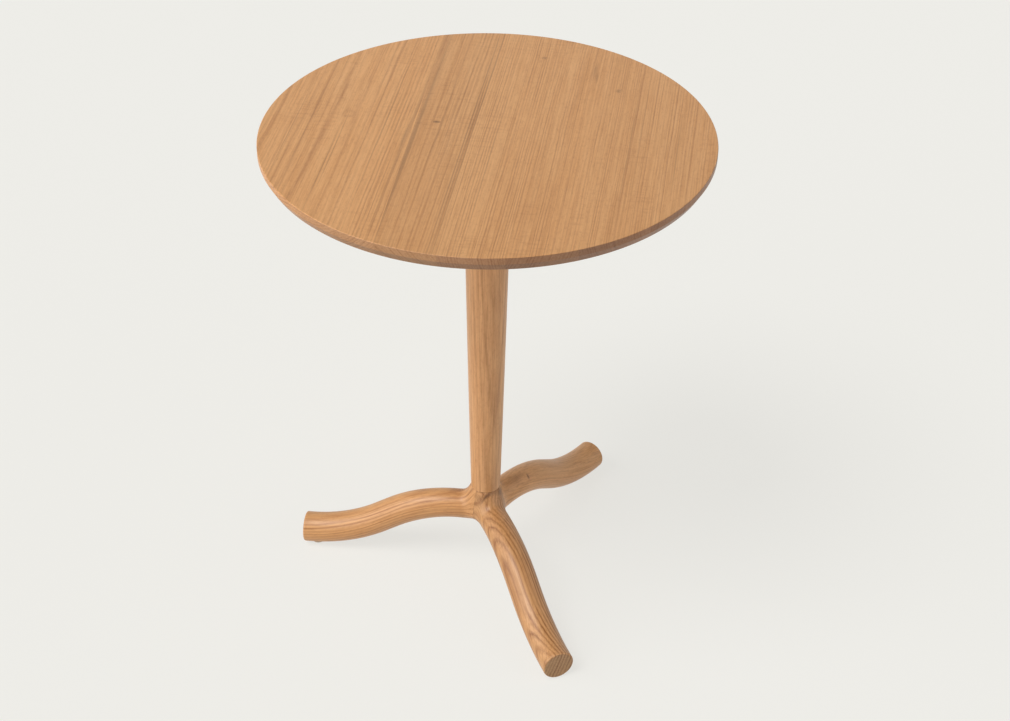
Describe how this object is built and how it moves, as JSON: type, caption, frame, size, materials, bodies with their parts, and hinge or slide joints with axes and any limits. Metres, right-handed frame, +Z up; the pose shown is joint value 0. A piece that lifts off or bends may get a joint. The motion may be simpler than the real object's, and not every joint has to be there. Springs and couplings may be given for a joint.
{
  "type": "side table",
  "caption": "Round solid-wood side table: a thin top with an undercut rim, a tapered turned column and curved legs carved into one joint at its foot.",
  "frame": {"origin": "on the floor under the centre of the column", "axes": "+Z up along the column; -Y along the front leg; +X to the right of someone facing that leg"},
  "size_m": [0.4498, 0.4498, 0.55],
  "materials": {
    "top_wood": "satin oil over straight, fine grain with darker streaks",
    "column_wood": "satin oil, upright grain with a cathedral figure on one side",
    "leg_wood": "satin oil, bold grain along the legs and ring lines on the cut ends",
    "black_steel": "matt black powder coat",
    "zinc_steel": "zinc plated",
    "brass": "plain turned brass",
    "dowel_wood": "plain beech",
    "glide_nylon": "beige nylon"
  },
  "bodies": {
    "root": {"top_stave_1": "top_wood", "top_stave_2": "top_wood", "top_stave_3": "top_wood", "top_stave_4": "top_wood", "top_stave_5": "top_wood", "top_stave_6": "top_wood", "top_stave_7": "top_wood", "mounting_plate": "black_steel", "plate_screw_1": "zinc_steel", "plate_screw_2": "zinc_steel", "plate_screw_3": "zinc_steel", "plate_screw_4": "zinc_steel", "plate_screw_5": "zinc_steel", "plate_screw_6": "zinc_steel", "plate_bolt": "zinc_steel", "insert_top": "brass", "column": "column_wood", "insert_foot": "brass", "hub_bolt": "zinc_steel", "hub_washer": "zinc_steel", "leg_front": "leg_wood", "leg_right": "leg_wood", "leg_left": "leg_wood", "dowel_front_right_upper": "dowel_wood", "dowel_front_right_lower": "dowel_wood", "dowel_right_left_upper": "dowel_wood", "dowel_right_left_lower": "dowel_wood", "dowel_left_front_upper": "dowel_wood", "dowel_left_front_lower": "dowel_wood", "glide_front": "glide_nylon", "glide_right": "glide_nylon", "glide_left": "glide_nylon"}
  },
  "joints": []
}
